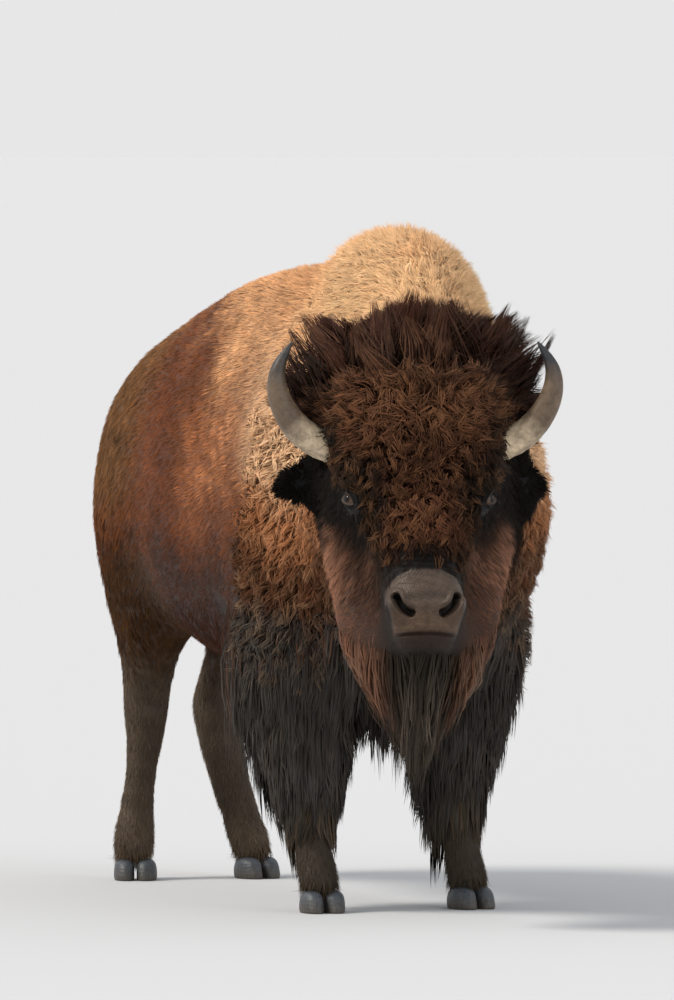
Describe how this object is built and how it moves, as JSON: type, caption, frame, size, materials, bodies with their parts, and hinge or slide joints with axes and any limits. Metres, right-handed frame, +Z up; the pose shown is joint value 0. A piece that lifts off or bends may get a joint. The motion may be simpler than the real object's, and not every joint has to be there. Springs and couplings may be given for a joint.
{
  "type": "bison figure",
  "caption": "Life-size still figure of a standing bull bison in winter coat, its head lowered and turned a little to its right.",
  "frame": {"origin": "on the floor under the middle of the figure's bounding box, soles at z = 0", "axes": "+Z up, the body lies along Y with the head towards -Y, and the animal's left side is +X"},
  "size_m": [0.9744, 2.642, 1.8135],
  "materials": {
    "golden_hump": "dense sun-bleached golden brown wool",
    "brown_flank": "short matted brown winter coat",
    "red_brown_mane": "curly reddish brown wool",
    "dark_head": "long near-black brown hair",
    "dark_leg": "short dark brown hair",
    "hoof": "dull blue-grey horn",
    "horn": "worn horn, grey-tan at the root and near-black at the tip",
    "eye": "wet dark brown eye"
  },
  "bodies": {
    "root": {"shoulders": "golden_hump", "barrel": "brown_flank", "hindquarters": "brown_flank", "neck": "red_brown_mane", "head": "dark_head", "bonnet": "dark_head", "beard": "dark_head", "chest_mane": "dark_head", "tail": "brown_flank", "tail_tuft": "dark_head", "ear_left": "dark_head", "ear_right": "dark_head", "foreleg_upper_left": "dark_head", "foreleg_lower_left": "dark_leg", "hoof_fore_left_outer": "hoof", "hoof_fore_left_inner": "hoof", "foreleg_upper_right": "dark_head", "foreleg_lower_right": "dark_leg", "hoof_fore_right_outer": "hoof", "hoof_fore_right_inner": "hoof", "hindleg_upper_left": "dark_head", "hindleg_lower_left": "dark_leg", "hoof_hind_left_outer": "hoof", "hoof_hind_left_inner": "hoof", "hindleg_upper_right": "dark_head", "hindleg_lower_right": "dark_leg", "hoof_hind_right_outer": "hoof", "hoof_hind_right_inner": "hoof", "horn_left": "horn", "eye_left": "eye", "horn_right": "horn", "eye_right": "eye"}
  },
  "joints": []
}
